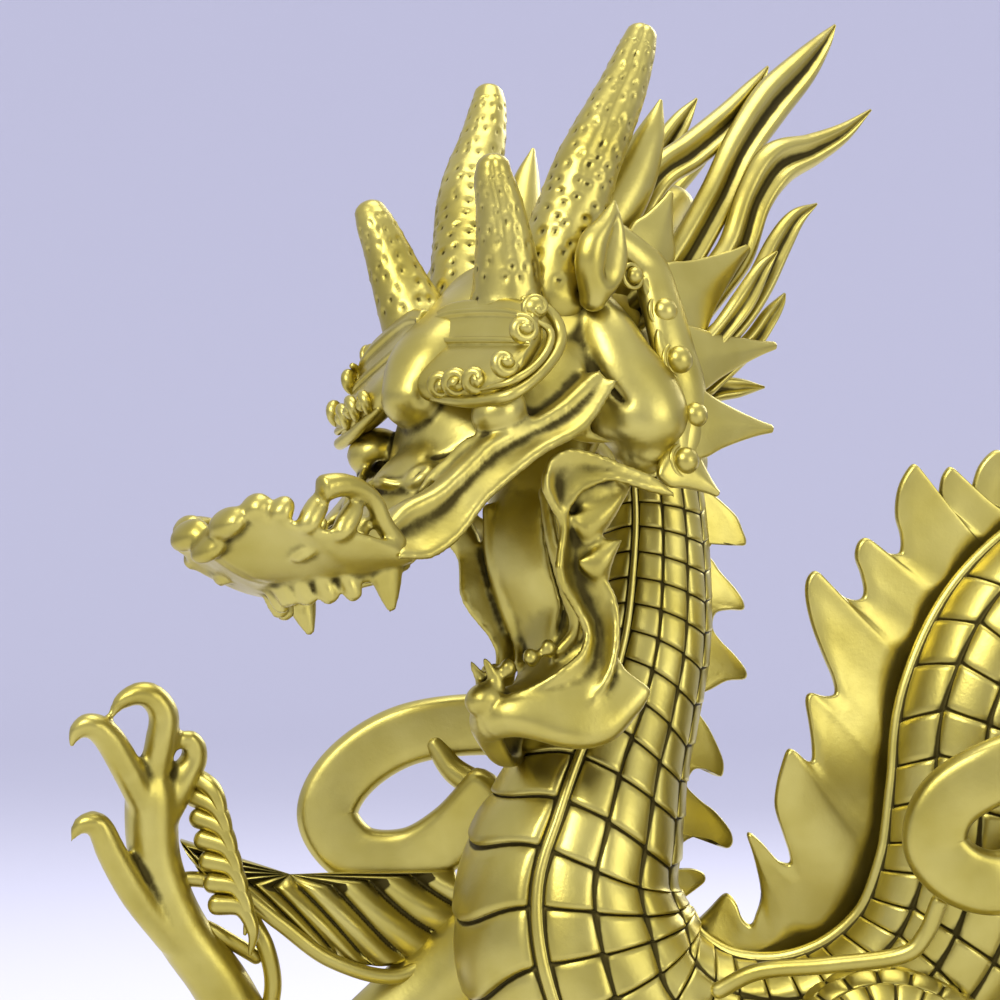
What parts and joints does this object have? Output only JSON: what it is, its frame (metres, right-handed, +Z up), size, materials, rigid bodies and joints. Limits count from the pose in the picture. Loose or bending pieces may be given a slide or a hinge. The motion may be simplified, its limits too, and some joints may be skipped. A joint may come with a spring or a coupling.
{
  "type": "dragon sculpture",
  "caption": "Hollow-cast brass dragon standing on a low plinth, with a looping scaled body, crested back, open jaws and one raised foreleg.",
  "frame": {"origin": "middle of the plinth's underside", "axes": "+Z up; the head looks along -X, the dragon's left side faces -Y, and the body runs along X"},
  "size_m": [0.5008, 0.2226, 0.4058],
  "materials": {
    "dragon": "satin cast brass, lightly polished, darker in the grooves",
    "plinth": "satin cast brass, brushed"
  },
  "bodies": {
    "root": {"dragon": "dragon", "plinth": "plinth"}
  },
  "joints": []
}
